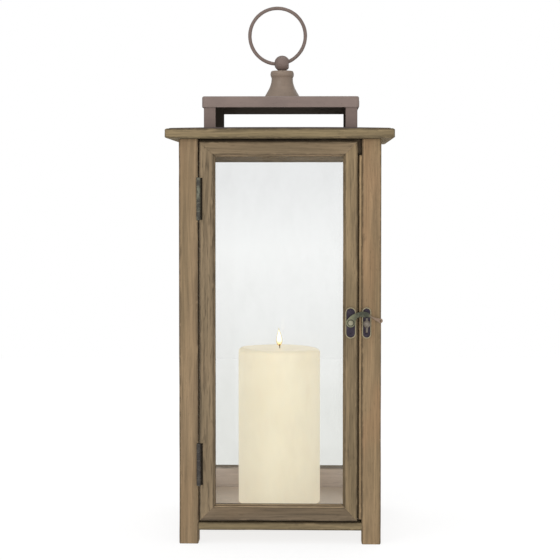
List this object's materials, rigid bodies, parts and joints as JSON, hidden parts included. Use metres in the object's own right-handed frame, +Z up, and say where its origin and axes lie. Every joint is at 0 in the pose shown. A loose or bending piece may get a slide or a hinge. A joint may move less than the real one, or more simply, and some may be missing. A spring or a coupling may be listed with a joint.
{
  "type": "hanging lantern",
  "caption": "Square timber candle lantern with glazed sides, a hinged glazed door with a hook latch, a folded metal handle and a hanging ring.",
  "frame": {"origin": "centre of the ground plane under the four feet", "axes": "+Z up, the door faces -Y, +X to the right when facing the door"},
  "size_m": [0.2004, 0.2004, 0.4826],
  "materials": {
    "post_wood": "weathered grey-brown, matt, open grain",
    "rail_wood": "weathered, matt",
    "board_wood": "weathered olive-brown, matt",
    "door_wood": "weathered grey-brown, strong straight grain, matt",
    "floor_paint": "taupe paint, matt",
    "glass": "clear",
    "hinge_iron": "blackened, light green-grey patina",
    "antique_bronze": "antique bronze, dark in the recesses, pale on the rims",
    "handle_metal": "taupe-brown paint, matt, rubbed edges",
    "plain_steel": "dull zinc",
    "wax": "cream wax, soft sheen",
    "wick": "burnt cotton"
  },
  "bodies": {
    "case": {"ball_finial": "handle_metal", "bottom_board": "board_wood", "bottom_rail_back": "rail_wood", "bottom_rail_left": "rail_wood", "bottom_rail_right": "rail_wood", "catch_brads": "antique_bronze", "catch_knob": "antique_bronze", "catch_plate": "antique_bronze", "door_stop": "rail_wood", "finial_nut": "plain_steel", "finial_stud": "plain_steel", "floor_plate": "floor_paint", "front_header": "rail_wood", "glass_back": "glass", "glass_left": "glass", "glass_right": "glass", "handle_cap": "handle_metal", "handle_cone": "handle_metal", "handle_leg_left": "handle_metal", "handle_leg_right": "handle_metal", "handle_rivets": "handle_metal", "handle_screws": "plain_steel", "hinge_lower_leaf_post": "hinge_iron", "hinge_lower_pin": "hinge_iron", "hinge_screws_post": "hinge_iron", "hinge_upper_leaf_post": "hinge_iron", "hinge_upper_pin": "hinge_iron", "post_back_left": "post_wood", "post_back_right": "post_wood", "post_front_left": "post_wood", "post_front_right": "post_wood", "roof_board": "board_wood", "roof_nails": "plain_steel", "roof_sheet": "handle_metal", "top_rail_back": "rail_wood", "top_rail_left": "rail_wood", "top_rail_right": "rail_wood"},
    "door": {"door_bead_rail_bottom": "door_wood", "door_bead_rail_top": "door_wood", "door_bead_stile_hinge": "door_wood", "door_bead_stile_latch": "door_wood", "door_glass": "glass", "door_rail_bottom": "door_wood", "door_rail_top": "door_wood", "door_stile_hinge": "door_wood", "door_stile_latch": "door_wood", "hinge_upper_leaf_door": "hinge_iron", "hinge_lower_leaf_door": "hinge_iron", "hinge_screws_door": "hinge_iron", "latch_plate": "antique_bronze", "latch_brads": "antique_bronze", "latch_rivet": "antique_bronze"},
    "hook": {"latch_hook": "antique_bronze"},
    "ring": {"ring": "handle_metal"},
    "candle": {"candle": "wax", "wick": "wick"}
  },
  "joints": [
    {"name": "door_swing", "type": "hinge", "parent": "case", "child": "door", "pos_m": [-0.07145, -0.0913, 0.1877], "axis": [0, 0, -1], "range_deg": [0, 170]},
    {"name": "latch_hook_turn", "type": "hinge", "parent": "door", "child": "hook", "pos_m": [0.0621, -0.0916, 0.196], "axis": [0, -1, 0], "range_deg": [-15, 105]},
    {"name": "ring_swing", "type": "hinge", "parent": "case", "child": "ring", "pos_m": [0, 0, 0.4297], "axis": [1, 0, 0], "range_deg": [-127, 127]},
    {"name": "candle_lift", "type": "slide", "parent": "case", "child": "candle", "axis": [0, 0, 1], "range_m": [0, 0.1]}
  ]
}
